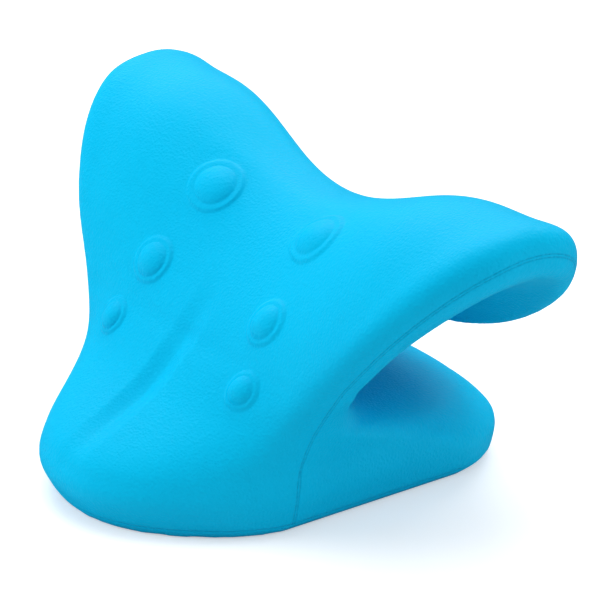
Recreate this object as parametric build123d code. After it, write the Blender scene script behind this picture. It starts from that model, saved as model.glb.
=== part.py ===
from build123d import *
import math
import os
from collections import namedtuple

# Neck and shoulder relaxer: a C-shaped cushion of skinned foam. A foot with a round toe and heel
# stands on the floor. From the toe a sloping front rises through a narrow neck to a winged cradle,
# which curls over the open gap behind it and ends in a rounded lip. The user lies with the neck in
# the trough between the wings, on six raised pressure nodes.
#
# Millimetres. X = across (mirror plane X = 0), -Y = toe side (shoulders), +Y = heel side (head), +Z up.
# The origin is on the floor, under the middle of the bounding box.

# ---------------------------------------------------------------- driving dimensions
SKIN = 3.0               # thickness of the closed-cell skin round the foam core
CORNER = 9.3             # largest front corner radius of a section
CORNER_SHARE = 0.55      # a thin section's front corner radius, as a share of its thickness
TROUGH_REACH = 84.0      # how far from the middle the neck trough fades out
CROWN_POWER = 2.2        # how late a section turns towards its side edges

# One row per design section, from the floor up the front, over the crest and down to the lip.
# A section lies in a plane that holds the X direction. Its lean turns that plane from upright (0)
# to level (90 = facing the toe, -90 = facing the heel).
#   half   half width, to the parting line on the side edge
#   y, z   where the parting line on the side edge passes through the section
#   rise   how far the side edge stands out beyond the middle
#   dip    extra depth of the trough (or groove) in the middle
#   mid    thickness in the middle
#   side   thickness at the side edge
#   turn   back corner radius
Station = namedtuple("Station", "half y z lean rise dip mid side turn")
STATIONS = [
    Station(60, -30, 0, 90, -44.5, 0, 167.5, 104, 16),        # floor
    Station(64, -29, 4, 90, -48.5, 0, 173.5, 109, 18),        # top of the sole
    Station(66, -29, 14, 90, -53.5, 0, 182.5, 110, 23),       # widest part of the foot
    Station(66, -28, 21, 90, -52, 0, 173, 104, 32),
    Station(66, -27, 28, 90, -46, 0, 152, 92, 42),        # shoulder of the toe
    Station(71, -24, 43, 87, -19, 0, 58, 40, 26),         # the heel block ends and the gap opens
    Station(81, -21, 60, 79, -4.5, 2, 34, 21, 8),         # neck
    Station(98.5, -14, 83, 66, 3, 7, 34, 18.5, 6),        # the wings flare out
    Station(114.5, -1, 103, 46, 5, 11.5, 33, 18, 5),
    Station(125, 15.5, 115.5, 25, 5, 14.5, 32, 17.5, 5),
    Station(127.5, 33, 119, 7, 4, 19, 29, 17.5, 5),       # crest
    Station(128, 45, 117, -6, 4, 20, 26, 17.5, 5),        # wing tips
    Station(125, 53.5, 111.5, -19, 6, 19, 22, 17, 5),
    Station(114, 61, 97, -38, 7.5, 12, 18, 16, 5),
    Station(97, 65, 82, -60, 7, 8, 15, 15, 4.5),
    Station(75, 67, 68, -77, 5, 3, 14, 14, 4.5),          # the rear lip draws in
    Station(48, 69, 57, -86, 1, 0, 13, 13, 4.3),
    Station(24, 70, 51, -90, 0, 0, 11, 11, 3.5),          # end of the lip
]
# where the points of half a curve lie along it, from the middle to the end of the corner
SHARES = (0.0, 0.13, 0.26, 0.39, 0.51, 0.63, 0.74, 0.83, 0.90, 0.93, 0.955, 0.98, 1.0)
TRACE_STEPS = 40         # straight steps that measure a face, and then its corner
FILL_IN = 3              # lofted steps from one station to the next

SOLE_TOP = 1             # station where the sole ends and the skins begin
NECK = 6                 # station where the cradle flexes on the foot
FLEX_GAP = 0.6           # gap between the two rigid halves of the flexing model

# Pressure nodes on the front face, one of each on either side of the middle.
Node = namedtuple("Node", "name host x y z ring dome")
NODES = [
    Node("big_node", "cradle", 32.6, 2.2, 104.9, 12.0, 8.5),
    Node("medium_node", "cradle", 38.1, -23.0, 76.5, 9.5, 6.8),
    Node("small_node", "base", 43.7, -37.5, 54.0, 7.6, 5.2),
]
NODE_DOME_HEIGHT = 3.2
NODE_RING_HEIGHT = 1.0
NODE_GROOVE = 0.3        # depth of the groove between ring and dome
NODE_EDGE = 0.7          # chamfer round the ring
NODE_SEAT = 1.8          # depth of the seat in the skin
NODE_CLEARANCE = 10.0    # how far a seat's cutter reaches above the face


# ---------------------------------------------------------------- section curves
def inset_station(st, inset):
    """The same section, smaller by inset on every side."""
    return st._replace(
        half=st.half - inset, mid=st.mid - 2 * inset, side=st.side - 2 * inset, turn=st.turn - inset
    )


def front_radius(st, inset):
    return min(CORNER, CORNER_SHARE * (st.side + 2 * inset)) - inset


def outer_face(st, x):
    """Outer face of a section over its side edge, before the corners are rounded."""
    spread = (abs(x) / st.half) ** CROWN_POWER
    return st.rise * (spread - 1) - st.dip * max(0.0, 1 - (x / TROUGH_REACH) ** 2) ** 2


def inner_face(st, x):
    """Inner face of a section: mid below the outer face in the middle, side below it at the edge."""
    middle = outer_face(st, 0) - st.mid
    spread = (abs(x) / st.half) ** CROWN_POWER
    return middle + (-st.side - middle) * spread


def half_points(st, face, lift, radius, turn):
    """Points (x, height) along one face, from the middle to the side edge and round its corner."""
    flat = st.half - radius
    steps = range(TRACE_STEPS)
    trace = [(flat * i / TRACE_STEPS, face(st, flat * i / TRACE_STEPS) + lift) for i in steps]
    for i in range(TRACE_STEPS + 1):
        angle = math.pi / 2 * i / TRACE_STEPS
        x = flat + radius * math.sin(angle)
        drop = radius * (1 - math.cos(angle))
        trace.append((x, face(st, x) + lift - turn * drop))
    return spaced(trace)


def spaced(trace):
    """Points on a trace at SHARES of its length."""
    run = [0.0]
    for a, b in zip(trace, trace[1:]):
        run.append(run[-1] + math.dist(a, b))
    points = []
    i = 0
    for share in SHARES:
        while i < len(trace) - 2 and run[i + 1] < share * run[-1]:
            i += 1
        t = (share * run[-1] - run[i]) / (run[i + 1] - run[i])
        points.append(tuple(p + t * (q - p) for p, q in zip(trace[i], trace[i + 1])))
    return points


def in_space(st, points):
    """Place (x, height) points of a section in space, height measured out from the parting line."""
    lean = math.radians(st.lean)
    return [Vector(x, st.y - h * math.sin(lean), st.z + h * math.cos(lean)) for x, h in points]


# Spline parameters shared by all the sections.
RIGHT_KNOTS = [0.5 + 0.5 * share for share in SHARES]
KNOTS = [1 - knot for knot in reversed(RIGHT_KNOTS)][:-1] + RIGHT_KNOTS


def across(points):
    """Mirror half of a curve, so that it runs from the left edge to the right edge."""
    left = [(-x, h) for x, h in reversed(points)]
    return left[:-1] + points


def section_curves(st, inset=0.0):
    """Front, right side, back and left side curves of one section, in order round it."""
    st = inset_station(st, inset)
    lift = front_radius(st, inset)
    front_points = across(half_points(st, outer_face, lift, lift, 1))
    back_points = across(half_points(st, inner_face, lift, st.turn, -1))
    front = Edge.make_spline(in_space(st, front_points), parameters=KNOTS)
    back = Edge.make_spline(in_space(st, back_points), parameters=KNOTS)
    right = Edge.make_line(front @ 1, back @ 1)
    left = Edge.make_line(back @ 0, front @ 0)
    return front, right, back, left


def full_outline(st):
    return section_curves(st)


def core_outline(st):
    return section_curves(st, SKIN)


def front_skin_outline(st):
    """Outer and inner front faces, joined by a flange at the parting line on each side."""
    front = section_curves(st)[0]
    lining = section_curves(st, SKIN)[0]
    return front, Edge.make_line(front @ 1, lining @ 1), lining, Edge.make_line(lining @ 0, front @ 0)


def back_skin_outline(st):
    """Outer and inner sides and back, up to the flange of the front skin."""
    outer = section_curves(st)
    lining = section_curves(st, SKIN)
    right_flange = Edge.make_line(outer[0] @ 1, lining[0] @ 1)
    left_flange = Edge.make_line(outer[0] @ 0, lining[0] @ 0)
    return *outer[1:], left_flange, *reversed(lining[1:]), right_flange


def filled_in(stations):
    """The stations with FILL_IN steps from each to the next, on Catmull-Rom curves through them."""
    ends = [stations[0], *stations, stations[-1]]
    steps = []
    for before, a, b, after in zip(ends, ends[1:], ends[2:], ends[3:]):
        for i in range(FILL_IN):
            t = i / FILL_IN
            row = []
            for p, q, r, s in zip(before, a, b, after):
                bend = 2 * p - 5 * q + 4 * r - s
                twist = 3 * (q - r) + s - p
                row.append(q + t * (r - p + t * (bend + t * twist)) / 2)
            steps.append(Station(*row))
    return [*steps, stations[-1]]


def lofted(stations, outline):
    return Solid.make_loft([Wire(outline(st)) for st in filled_in(stations)])


def shifted(st, distance):
    """The same section moved along the loft, square to its own plane."""
    lean = math.radians(st.lean)
    return st._replace(y=st.y + distance * math.cos(lean), z=st.z + distance * math.sin(lean))


# ---------------------------------------------------------------- pressure nodes
def seat_frame(node, side, skin):
    """A frame on the front face at the node: local Z points out of the cushion."""
    near = Vertex(side * node.x, node.y, node.z)
    face = max(skin.faces(), key=lambda candidate: candidate.area)
    on_face = face.closest_points(near)[0]
    out = face.normal_at(on_face)
    if out.Z < 0:
        out = -out
    return Plane(origin=on_face, z_dir=out)


def node_solid(node, frame):
    """A plug in the skin with a raised flat ring, a shallow groove and a low dome on top."""
    top = NODE_RING_HEIGHT
    groove = top - NODE_GROOVE
    corners = [
        Vector(0, 0, -NODE_SEAT),
        Vector(node.ring, 0, -NODE_SEAT),
        Vector(node.ring, 0, top - NODE_EDGE),
        Vector(node.ring - NODE_EDGE, 0, top),
        Vector(node.dome + groove, 0, top),
        Vector(node.dome, 0, groove),
        Vector(0, 0, NODE_DOME_HEIGHT),
    ]
    height = NODE_DOME_HEIGHT - groove
    sphere = (node.dome ** 2 + height ** 2) / (2 * height)
    halfway = math.asin(node.dome / sphere) / 2
    crest = Vector(sphere * math.sin(halfway), 0, NODE_DOME_HEIGHT - sphere * (1 - math.cos(halfway)))
    edges = [Edge.make_line(a, b) for a, b in zip(corners[:5], corners[1:6])]
    edges.append(Edge.make_three_point_arc(corners[5], crest, corners[6]))
    edges.append(Edge.make_line(corners[6], corners[0]))
    return frame.location * Solid.revolve(Face(Wire(edges)), 360, Axis.Z)


def node_seat(node, frame):
    """The pocket that a node's plug fills, open well above the face."""
    pocket = Solid.make_cylinder(node.ring, NODE_SEAT + NODE_CLEARANCE, Plane((0, 0, -NODE_SEAT)))
    return frame.location * pocket


# ---------------------------------------------------------------- assembly
def build():
    foot = STATIONS[SOLE_TOP:NECK + 1]
    cradle = [shifted(STATIONS[NECK], FLEX_GAP), *STATIONS[NECK + 1:]]
    parts = {
        "sole": lofted(STATIONS[:SOLE_TOP + 1], full_outline),
        "base_front_skin": lofted(foot, front_skin_outline),
        "base_back_skin": lofted(foot, back_skin_outline),
        "base_core": lofted(foot, core_outline),
        "cradle_front_skin": lofted(cradle, front_skin_outline),
        "cradle_back_skin": lofted(cradle, back_skin_outline),
        "cradle_core": lofted(cradle, core_outline),
    }
    for node in NODES:
        host = node.host + "_front_skin"
        for side, hand in ((-1, "left"), (1, "right")):
            frame = seat_frame(node, side, parts[host])
            parts[node.name + "_" + hand] = node_solid(node, frame)
            parts[host] = parts[host] - node_seat(node, frame)
    return parts


os.makedirs("parts", exist_ok=True)
for name, shape in build().items():
    export_step(shape, os.path.join("parts", name + ".step"))
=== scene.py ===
import math

import bpy
import bmesh
import numpy as np
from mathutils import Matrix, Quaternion, Vector
from mathutils.bvhtree import BVHTree


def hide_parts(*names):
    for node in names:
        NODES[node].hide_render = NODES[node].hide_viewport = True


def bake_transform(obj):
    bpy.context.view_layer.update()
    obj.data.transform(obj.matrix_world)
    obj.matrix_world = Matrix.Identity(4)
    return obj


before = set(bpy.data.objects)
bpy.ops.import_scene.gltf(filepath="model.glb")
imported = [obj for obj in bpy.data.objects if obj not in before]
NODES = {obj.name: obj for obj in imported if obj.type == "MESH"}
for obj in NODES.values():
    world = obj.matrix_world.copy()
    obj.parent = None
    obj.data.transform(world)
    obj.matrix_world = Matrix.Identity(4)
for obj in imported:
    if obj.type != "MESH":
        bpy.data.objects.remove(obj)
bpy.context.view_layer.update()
MM = 0.001

# ------------------------------------------------------------------ dimensions
FOOT_NODES = ("sole", "base_front_skin", "base_back_skin", "base_core")
CRADLE_NODES = ("cradle_front_skin", "cradle_back_skin", "cradle_core")
PRESSURE_NODES = [
    size + "_node_" + hand for size in ("big", "medium", "small") for hand in ("left", "right")
]

VOXEL = 1.7 * MM            # grid of the first, merged mesh
EASE_ROUNDS = 4             # of smoothing that keeps the volume: a step in, a longer step out
EASE_IN = 0.5
EASE_OUT = -0.52
RIM_START = 86 * MM         # the wings' rims are eased beyond this distance from the middle
RIM_FULL = 108 * MM
RIM_FLOOR = 66 * MM         # and above this height
RIM_RISE = 14 * MM
RIM_ROUNDS = 5
FINE_MARGIN = 2 * MM        # of finer mesh round the small detail

NODE_SEAT = 1.8 * MM        # the CAD node's flat back lies this far under the skin
RING_HEIGHT = 1.0 * MM
RING_EDGE = 1.3 * MM        # width of the slope round the ring
DOME_SHARE = 0.72           # dome radius, as a share of the ring's
DOME_HEIGHT = 2.6 * MM      # above the ring
DOME_FULLNESS = 0.75        # 0.5 is a ball's edge, 1 a parabola's
MEND_MARGIN = 1.0 * MM      # round each ring, where the skin is made good under it
MEND_SAMPLE = 7.0 * MM
# the nodes are pressed out this many degrees inwards and downwards of where the skin faces
PRESS_TURN = {"big": (20, 8), "medium": (9, 14), "small": (9, 12)}

SEAM_CENTRE = (0.025, 0.060)  # y, z of a point that the parting line winds round
SEAM_STEPS = 120
SEAM_EASE = 14              # rounds of smoothing along the parting line
SKINS_MEET = 0.02 * MM      # front and back skin are this close on the parting line
CORE_AWAY = 2.2 * MM        # where the core is further than this, the point is on the outside
SEAM_REACH = 1.7 * MM       # the finer mesh on either side of the parting line
SEAM_GROOVES = (0.6 * MM, -0.6 * MM)
SEAM_WIDTH = 0.28 * MM
SEAM_DEPTH = 0.26 * MM
SEAM_BEAD = 0.10 * MM
SEAM_UNEVEN = 0.25          # share of the depth that comes and goes along the line
SEAM_WAVES = (900, 2300)    # radians per metre of the two waves in it

LIP_HEIGHT = 4.0 * MM       # the moulding's lower edge line over the floor
LIP_WIDTH = 0.40 * MM
LIP_DEPTH = 0.30 * MM
LIP_PAINTED_SHADE = 0.6              # painted shade in its groove, as a share of the parting line's

GROOVE_TOP = (-0.028, 0.066)  # y, z of the ends of the groove down the front
GROOVE_FOOT = (-0.090, 0.020)
GROOVE_HALF = 8.5 * MM
GROOVE_DEPTH = 2.6 * MM
GROOVE_FADE_IN = (-0.35, 0.45)  # shares of the way from its top to its foot
GROOVE_FADE_OUT = (0.45, 1.1)

# ------------------------------------------------------------------ looks
SKIN_BLUE = ((0.0, 0.42, 0.71, 1), (0.0, 0.45, 0.74, 1))
# painted shade: the base colour goes this deep blue in the parting line's grooves and the lip's groove
PAINTED_SHADE_BLUE = (0.0, 0.20, 0.40, 1)
PAINTED_SHADE_STRENGTH = 0.5
DRIFT_SCALE = 14            # of the slow change between the two blues
GRAIN_SCALE = 1100
CELL_SCALE = 900
SKIN_ROUGHNESS = (0.44, 0.56)
SKIN_SPECULAR = 0.06
GRAIN_STRENGTH = 0.6
GRAIN_HEIGHT = 0.3 * MM

FLOOR_HALF = 4.0            # metres
FLOOR_GREY = 0.75
FLOOR_GLOW = 0.42           # what a camera ray alone sees on top
SKY_HEIGHTS = (-0.5, 0.6)   # direction's z, between which the sky goes from dim to bright
SKY_STRENGTH = (0.45, 0.60)
# name, place, aim, width and height, watts, whether it shows as a highlight
LIGHTS = (
    ("top", (-0.2, 0.1, 1.5), (0, 0, 0), (1.2, 1.2), 12, False),
    ("left", (-1.0, -1.3, 0.38), (0, 0, 0.05), (1.0, 1.0), 16, False),
    ("right", (1.3, 0.6, 0.35), (0, 0, 0.08), (1.0, 1.0), 6, False),
    ("behind", (-0.9, 0.7, 1.0), (0, 0, 0.08), (1.6, 0.8), 11, True),
)

CAMERA_AZIMUTH = 53.87      # degrees; where the camera stands, from -Y towards +X
CAMERA_ELEVATION = 23.34
CAMERA_DISTANCE = 1.3689
CAMERA_AIM = Vector((0.00393, 0.01770, 0.06245))
CAMERA_LENS = 211.0         # mm, for the sensor below
CAMERA_SENSOR = 36
CAMERA_REACH = 20


# ------------------------------------------------------------------ mesh helpers
def new_object(name, data):
    obj = bpy.data.objects.new(name, data)
    bpy.context.scene.collection.objects.link(obj)
    return obj


def applied(obj, kind, **settings):
    """Apply one modifier to obj."""
    modifier = obj.modifiers.new(kind, kind)
    for key, value in settings.items():
        setattr(modifier, key, value)
    bpy.context.view_layer.update()
    evaluated = obj.evaluated_get(bpy.context.evaluated_depsgraph_get())
    mesh = bpy.data.meshes.new_from_object(evaluated)
    obj.modifiers.clear()
    old = obj.data
    obj.data = mesh
    bpy.data.meshes.remove(old)


def points_of(mesh):
    flat = np.zeros(len(mesh.vertices) * 3)
    mesh.vertices.foreach_get("co", flat)
    return flat.reshape(-1, 3)


def put_points(mesh, points):
    mesh.vertices.foreach_set("co", points.ravel())
    mesh.update()


def normals_of(mesh):
    flat = np.zeros(len(mesh.vertices) * 3)
    mesh.vertices.foreach_get("normal", flat)
    return flat.reshape(-1, 3)


def edges_of(mesh):
    flat = np.zeros(len(mesh.edges) * 2, np.int32)
    mesh.edges.foreach_get("vertices", flat)
    return flat.reshape(-1, 2)


def smoothed(points, edges, weight, rounds):
    """Move each point towards the mean of its neighbours, weight of the way, rounds times."""
    count = len(points)
    ends = np.concatenate([edges[:, 0], edges[:, 1]])
    others = np.concatenate([edges[:, 1], edges[:, 0]])
    degree = np.maximum(np.bincount(ends, minlength=count), 1)
    weight = np.broadcast_to(weight, count)
    for _ in range(rounds):
        for axis in range(3):
            total = np.bincount(ends, points[others, axis], minlength=count)
            points[:, axis] += weight * (total / degree - points[:, axis])
    return points


def ramp(values, low, high):
    """0 below low, 1 above high, smooth between."""
    t = np.clip((values - low) / (high - low), 0, 1)
    return t * t * (3 - 2 * t)


def tree_of(names):
    """A search tree over the faces of some CAD nodes."""
    work = bmesh.new()
    for name in names:
        work.from_mesh(NODES[name].data)
    tree = BVHTree.FromBMesh(work)
    work.free()
    return tree


def refine(obj, chosen):
    """Halve the edges between chosen vertices, and so split the faces there."""
    work = bmesh.new()
    work.from_mesh(obj.data)
    work.verts.ensure_lookup_table()
    edges = [edge for edge in work.edges if all(chosen[vertex.index] for vertex in edge.verts)]
    bmesh.ops.subdivide_edges(work, edges=edges, cuts=1, use_grid_fill=True)
    bmesh.ops.triangulate(work, faces=[face for face in work.faces if len(face.verts) > 4])
    work.to_mesh(obj.data)
    work.free()
    obj.data.update()


# ------------------------------------------------------------------ pressure nodes
class Button:
    """A pressure node: where its middle lies on the skin, its axes and its radius."""

    def __init__(self, name):
        data = NODES[name].data
        spread = {}
        for polygon in data.polygons:
            key = tuple(round(value, 2) for value in polygon.normal)
            spread[key] = spread.get(key, 0) + polygon.area
        back = max(spread, key=spread.get)
        flat = [p for p in data.polygons if tuple(round(v, 2) for v in p.normal) == back]
        area = sum(p.area for p in flat)
        middle = sum((p.center * p.area for p in flat), Vector()) / area
        self.out = -sum((p.normal * p.area for p in flat), Vector()).normalized()
        self.middle = np.array(middle + self.out * NODE_SEAT)
        inwards, downwards = (math.radians(turn) for turn in PRESS_TURN[name.split("_")[0]])
        self.out.rotate(Quaternion((0, 0, 1), math.copysign(inwards, -self.middle[0])))
        across = self.out.cross(Vector((0, 0, 1))).normalized()
        self.out.rotate(Quaternion(across, -downwards))
        self.across = np.array(across)
        self.out = np.array(self.out)
        self.along = np.cross(self.out, self.across)
        corners = points_of(data) - self.middle
        self.ring = math.sqrt(max(np.sum(corners ** 2, 1) - (corners @ self.out) ** 2))

    def local(self, points):
        """Distances (across, along, out) from the middle."""
        offset = points - self.middle
        return offset @ self.across, offset @ self.along, offset @ self.out

    def near(self, points, reach):
        across, along, out = self.local(points)
        return (np.hypot(across, along) < reach) & (np.abs(out) < self.ring)

    def mend(self, points):
        """Lay the skin under the button on a smooth patch that fits the skin round it."""
        start = self.ring + MEND_MARGIN
        picked = np.flatnonzero(self.near(points, start + MEND_SAMPLE))
        u, v, h = self.local(points[picked])
        r = np.hypot(u, v)
        terms = np.stack([np.ones_like(u), u, v, u * u, u * v, v * v], 1)
        outside = r > start
        fit = np.linalg.lstsq(terms[outside], h[outside], rcond=None)[0]
        keep = ramp(r, start, start + MEND_SAMPLE)
        points[picked] += ((1 - keep) * (terms @ fit - h))[:, None] * self.out

    def raise_on(self, points):
        """Press the ring and dome up out of the skin."""
        picked = np.flatnonzero(self.near(points, self.ring + RING_EDGE))
        u, v, _ = self.local(points[picked])
        r = np.hypot(u, v)
        dome = self.ring * DOME_SHARE
        lift = RING_HEIGHT * (1 - ramp(r, self.ring - RING_EDGE, self.ring + RING_EDGE / 2))
        lift += DOME_HEIGHT * np.clip(1 - (r / dome) ** 2, 0, 1) ** DOME_FULLNESS
        points[picked] += lift[:, None] * self.out


# ------------------------------------------------------------------ parting line
def seam_line(side):
    """The parting line on one side, from the floor up and round to the lip."""
    found = []
    for part in ("base", "cradle"):
        back = tree_of([part + "_back_skin"])
        core = tree_of([part + "_core"])
        for vertex in NODES[part + "_front_skin"].data.vertices:
            at = vertex.co
            if at.x * side <= 0 or back.find_nearest(at)[3] >= SKINS_MEET:
                continue
            if core.find_nearest(at)[3] > CORE_AWAY:
                found.append(tuple(at))
    found = np.array(found)
    turn = np.arctan2(found[:, 2] - SEAM_CENTRE[1], found[:, 1] - SEAM_CENTRE[0])
    turn[turn > 0] -= 2 * math.pi
    order = np.argsort(-turn)
    found, turn = found[order], turn[order]
    steps = np.linspace(turn[0], turn[-1], SEAM_STEPS)
    line = np.stack([np.interp(-steps, -turn, found[:, axis]) for axis in range(3)], 1)
    for _ in range(SEAM_EASE):
        line[1:-1] = (line[:-2] + 2 * line[1:-1] + line[2:]) / 4
    return line


def seam_offsets(points, line):
    """Each point's distance to the line, the same signed (plus is in front), and how far along."""
    a, b = line[:-1], line[1:]
    step = b - a
    length = np.linalg.norm(step, axis=1)
    start = np.concatenate([[0], np.cumsum(length)])
    best = np.full(len(points), 1.0)
    signed = np.full(len(points), 1.0)
    run = np.zeros(len(points))
    for i in range(len(a)):
        offset = points - a[i]
        t = np.clip(offset @ step[i] / length[i] ** 2, 0, 1)
        gap = offset - t[:, None] * step[i]
        distance = np.linalg.norm(gap, axis=1)
        closer = distance < best
        outward = np.array([0, a[i, 1] - SEAM_CENTRE[0], a[i, 2] - SEAM_CENTRE[1]])
        outward -= step[i] * (outward @ step[i]) / length[i] ** 2
        best = np.where(closer, distance, best)
        signed = np.where(closer, distance * np.sign(gap @ outward), signed)
        run = np.where(closer, start[i] + t * length[i], run)
    return best, signed, run


# ------------------------------------------------------------------ the cushion's skin
def merged_body():
    """One skin round every CAD solid of the cushion but its pressure nodes."""
    work = bmesh.new()
    for name in (*FOOT_NODES, *CRADLE_NODES):
        work.from_mesh(NODES[name].data)
    mesh = bpy.data.meshes.new("cushion")
    work.to_mesh(mesh)
    work.free()
    obj = new_object("cushion", mesh)
    applied(obj, "REMESH", mode="VOXEL", voxel_size=VOXEL, adaptivity=0.0)
    return obj


def ease(obj, buttons):
    """Smooth away the voxels, round the wings' rims a little and make good the nodes' seats."""
    points = points_of(obj.data)
    edges = edges_of(obj.data)
    for _ in range(EASE_ROUNDS):
        points = smoothed(points, edges, EASE_IN, 1)
        points = smoothed(points, edges, EASE_OUT, 1)
    rim = ramp(np.abs(points[:, 0]), RIM_START, RIM_FULL)
    rim = rim * ramp(points[:, 2], RIM_FLOOR, RIM_FLOOR + RIM_RISE)
    points = smoothed(points, edges, EASE_IN * rim, RIM_ROUNDS)
    for button in buttons:
        button.mend(points)
    put_points(obj.data, points)


def near_seams(points, seams, reach):
    near = np.zeros(len(points), bool)
    for line in seams:
        near |= seam_offsets(points, line)[0] < reach
    return near


def add_fine_mesh(obj, buttons, seams):
    """Finer mesh where the small detail is, and finer again along the parting line."""
    points = points_of(obj.data)
    fine = np.abs(points[:, 2] - LIP_HEIGHT) < FINE_MARGIN
    for button in buttons:
        fine |= button.near(points, button.ring + FINE_MARGIN)
    refine(obj, fine | near_seams(points, seams, SEAM_REACH + MM))
    refine(obj, near_seams(points_of(obj.data), seams, SEAM_REACH))


def press_groove(points, normals):
    """The groove down the middle of the front, which fades out at both ends."""
    down = np.array(GROOVE_FOOT) - np.array(GROOVE_TOP)
    share = (points[:, 1:] - np.array(GROOVE_TOP)) @ down / (down @ down)
    facing_front = ramp(-normals[:, 1], 0.1, 0.4)
    fade = ramp(share, *GROOVE_FADE_IN) * (1 - ramp(share, *GROOVE_FADE_OUT)) * facing_front
    hollow = np.clip(1 - np.abs(points[:, 0] / GROOVE_HALF) ** 1.6, 0, 1) ** 1.4
    points -= normals * (GROOVE_DEPTH * fade * hollow)[:, None]


def press_seams(points, normals, seams):
    """The parting line: a bead of flash between two fine grooves. Returns how much painted shade its
    grooves get.
    """
    painted_crease_shade = np.zeros(len(points))
    for line in seams:
        distance, signed, run = seam_offsets(points, line)
        near = distance < SEAM_REACH
        waves = np.sin(run * SEAM_WAVES[0]) * np.sin(run * SEAM_WAVES[1] + 1)
        wobble = 1 - SEAM_UNEVEN + SEAM_UNEVEN * waves
        depth = sum(
            SEAM_DEPTH * wobble * np.exp(-((signed - place) / SEAM_WIDTH) ** 2) for place in SEAM_GROOVES
        )
        bead = SEAM_BEAD * np.exp(-(signed / SEAM_WIDTH) ** 2)
        points += normals * (near * (bead - depth))[:, None]
        # painted shade in the grooves, as strong as they are deep
        painted_crease_shade += near * depth / SEAM_DEPTH
    return painted_crease_shade


def press_lip(points, normals):
    """The moulding's lower edge line. Returns how much painted shade its groove gets."""
    upright = ramp(1 - np.abs(normals[:, 2]), 0.1, 0.5)
    lip = np.exp(-((points[:, 2] - LIP_HEIGHT) / LIP_WIDTH) ** 2) * upright
    points -= normals * (LIP_DEPTH * lip)[:, None]
    # painted shade along the lip's groove
    return LIP_PAINTED_SHADE * lip


def make_cushion():
    obj = merged_body()
    buttons = [Button(name) for name in PRESSURE_NODES]
    ease(obj, buttons)
    applied(obj, "SUBSURF", levels=1, render_levels=1)
    seams = [seam_line(side) for side in (-1, 1)]
    add_fine_mesh(obj, buttons, seams)

    mesh = obj.data
    points = points_of(mesh)
    press_groove(points, normals_of(mesh))
    for button in buttons:
        button.raise_on(points)
    put_points(mesh, points)

    points = points_of(mesh)
    normals = normals_of(mesh)
    painted_crease_shade = press_seams(points, normals, seams)
    painted_crease_shade += press_lip(points, normals)
    put_points(mesh, points)
    mesh.polygons.foreach_set("use_smooth", np.ones(len(mesh.polygons), bool))
    # the painted shade mask, kept on the mesh for the skin's material
    stored = mesh.attributes.new("painted_crease_shade", "FLOAT", "POINT")
    stored.data.foreach_set("value", np.clip(painted_crease_shade, 0, 1).astype(np.float32))
    return obj


# ------------------------------------------------------------------ materials
def foam_skin():
    """Moulded foam's own skin: saturated blue, satin, with a fine leathery grain, and painted shade
    darkening the base colour in the grooves of the parting line and lip.
    """
    material = bpy.data.materials.new("foam_skin")
    material.use_nodes = True
    tree = material.node_tree
    nodes, links = tree.nodes, tree.links
    shader = nodes["Principled BSDF"]

    def node(kind, inputs=None, **values):
        made = nodes.new(kind)
        for key, value in values.items():
            setattr(made, key, value)
        for key, value in (inputs or {}).items():
            made.inputs[key].default_value = value
        return made

    where = node("ShaderNodeTexCoord").outputs["Object"]
    drift = node("ShaderNodeTexNoise", {"Scale": DRIFT_SCALE, "Detail": 3})
    grain = node("ShaderNodeTexNoise", {"Scale": GRAIN_SCALE, "Detail": 3, "Roughness": 0.6})
    cells = node("ShaderNodeTexVoronoi", feature="SMOOTH_F1")
    cells.inputs["Scale"].default_value = CELL_SCALE
    cells.inputs["Smoothness"].default_value = 0.5
    for texture in (drift, grain, cells):
        links.new(where, texture.inputs["Vector"])

    tone = node("ShaderNodeMapRange", {"From Min": 0.3, "From Max": 0.7})
    links.new(drift.outputs["Fac"], tone.inputs["Value"])
    blend = node("ShaderNodeMix", data_type="RGBA")
    blend.inputs["A"].default_value, blend.inputs["B"].default_value = SKIN_BLUE
    links.new(tone.outputs["Result"], blend.inputs["Factor"])
    # painted shade: the base colour is darkened in the parting line's grooves and the lip's groove
    shade_mask = node("ShaderNodeAttribute", attribute_name="painted_crease_shade")
    strength = node("ShaderNodeMath", {1: PAINTED_SHADE_STRENGTH}, operation="MULTIPLY")
    links.new(shade_mask.outputs["Fac"], strength.inputs[0])
    shaded_colour = node("ShaderNodeMix", data_type="RGBA")
    shaded_colour.inputs["B"].default_value = PAINTED_SHADE_BLUE
    links.new(blend.outputs["Result"], shaded_colour.inputs["A"])
    links.new(strength.outputs["Value"], shaded_colour.inputs["Factor"])
    links.new(shaded_colour.outputs["Result"], shader.inputs["Base Color"])

    rough = node("ShaderNodeMapRange", {"To Min": SKIN_ROUGHNESS[0], "To Max": SKIN_ROUGHNESS[1]})
    links.new(grain.outputs["Fac"], rough.inputs["Value"])
    links.new(rough.outputs["Result"], shader.inputs["Roughness"])

    heights = node("ShaderNodeMath", operation="ADD")
    links.new(grain.outputs["Fac"], heights.inputs[0])
    links.new(cells.outputs["Distance"], heights.inputs[1])
    bump = node("ShaderNodeBump", {"Strength": GRAIN_STRENGTH, "Distance": GRAIN_HEIGHT})
    links.new(heights.outputs["Value"], bump.inputs["Height"])
    links.new(bump.outputs["Normal"], shader.inputs["Normal"])
    shader.inputs["Specular IOR Level"].default_value = SKIN_SPECULAR
    return material


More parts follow.
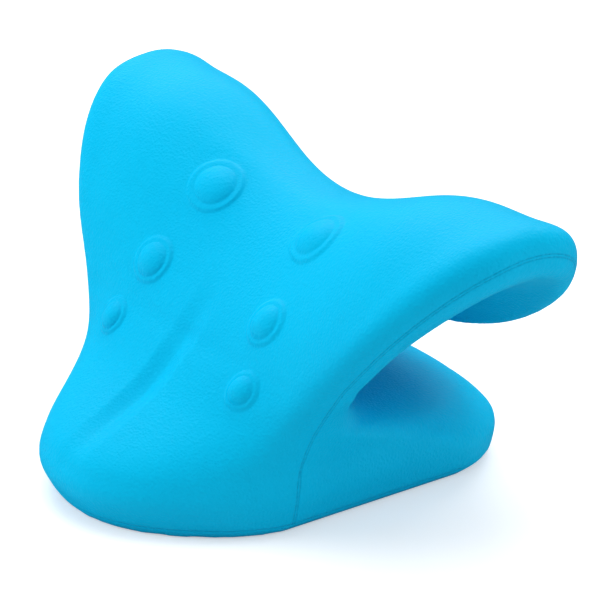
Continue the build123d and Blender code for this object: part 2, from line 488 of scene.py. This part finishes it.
def floor_white():
    """Matt white whose glow only a camera ray sees, so that it doesn't light the cushion."""
    material = bpy.data.materials.new("floor_white")
    material.use_nodes = True
    tree = material.node_tree
    shader = tree.nodes["Principled BSDF"]
    shader.inputs["Base Color"].default_value = (FLOOR_GREY, FLOOR_GREY, FLOOR_GREY, 1)
    shader.inputs["Roughness"].default_value = 0.7
    shader.inputs["Specular IOR Level"].default_value = 0.1
    shader.inputs["Emission Color"].default_value = (1, 1, 1, 1)
    seen = tree.nodes.new("ShaderNodeLightPath").outputs["Is Camera Ray"]
    glow = tree.nodes.new("ShaderNodeMath")
    glow.operation = "MULTIPLY"
    glow.inputs[1].default_value = FLOOR_GLOW
    tree.links.new(seen, glow.inputs[0])
    tree.links.new(glow.outputs["Value"], shader.inputs["Emission Strength"])
    return material


# ------------------------------------------------------------------ floor, light and camera
def make_floor():
    half = FLOOR_HALF
    mesh = bpy.data.meshes.new("floor")
    corners = [(-half, -half, 0), (half, -half, 0), (half, half, 0), (-half, half, 0)]
    mesh.from_pydata(corners, [], [(0, 1, 2, 3)])
    floor = new_object("floor", mesh)
    mesh.materials.append(floor_white())
    floor.visible_glossy = False
    return floor


def make_sky():
    """White light from all round, a little dimmer from below and not seen in reflections."""
    world = bpy.data.worlds.new("studio")
    bpy.context.scene.world = world
    world.use_nodes = True
    tree = world.node_tree
    background = tree.nodes["Background"]
    background.inputs["Color"].default_value = (1, 1, 1, 1)
    direction = tree.nodes.new("ShaderNodeTexCoord").outputs["Generated"]
    split = tree.nodes.new("ShaderNodeSeparateXYZ")
    tree.links.new(direction, split.inputs["Vector"])
    height = tree.nodes.new("ShaderNodeMapRange")
    height.inputs["From Min"].default_value, height.inputs["From Max"].default_value = SKY_HEIGHTS
    height.inputs["To Min"].default_value, height.inputs["To Max"].default_value = SKY_STRENGTH
    tree.links.new(split.outputs["Z"], height.inputs["Value"])
    tree.links.new(height.outputs["Result"], background.inputs["Strength"])
    world.cycles_visibility.glossy = False


def area_light(name, place, aim, size, power, gloss):
    data = bpy.data.lights.new(name, "AREA")
    data.shape = "RECTANGLE"
    data.size, data.size_y = size
    data.energy = power
    light = new_object(name, data)
    light.location = place
    light.rotation_euler = (Vector(aim) - Vector(place)).to_track_quat("-Z", "Y").to_euler()
    light.visible_glossy = gloss


def make_camera():
    azimuth = math.radians(CAMERA_AZIMUTH)
    elevation = math.radians(CAMERA_ELEVATION)
    back = Vector((
        math.sin(azimuth) * math.cos(elevation),
        -math.cos(azimuth) * math.cos(elevation),
        math.sin(elevation),
    ))
    data = bpy.data.cameras.new("camera")
    data.lens = CAMERA_LENS
    data.sensor_width = CAMERA_SENSOR
    data.sensor_fit = "HORIZONTAL"
    data.clip_end = CAMERA_REACH
    camera = new_object("camera", data)
    camera.location = CAMERA_AIM + back * CAMERA_DISTANCE
    camera.rotation_euler = (-back).to_track_quat("-Z", "Y").to_euler()
    bpy.context.scene.camera = camera


cushion = make_cushion()
cushion.data.materials.clear()
cushion.data.materials.append(foam_skin())

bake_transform(cushion)
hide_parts(*FOOT_NODES, *CRADLE_NODES, *PRESSURE_NODES)

make_floor()
bpy.context.scene.view_settings.view_transform = "Standard"
make_sky()
for light in LIGHTS:
    area_light(*light)
make_camera()
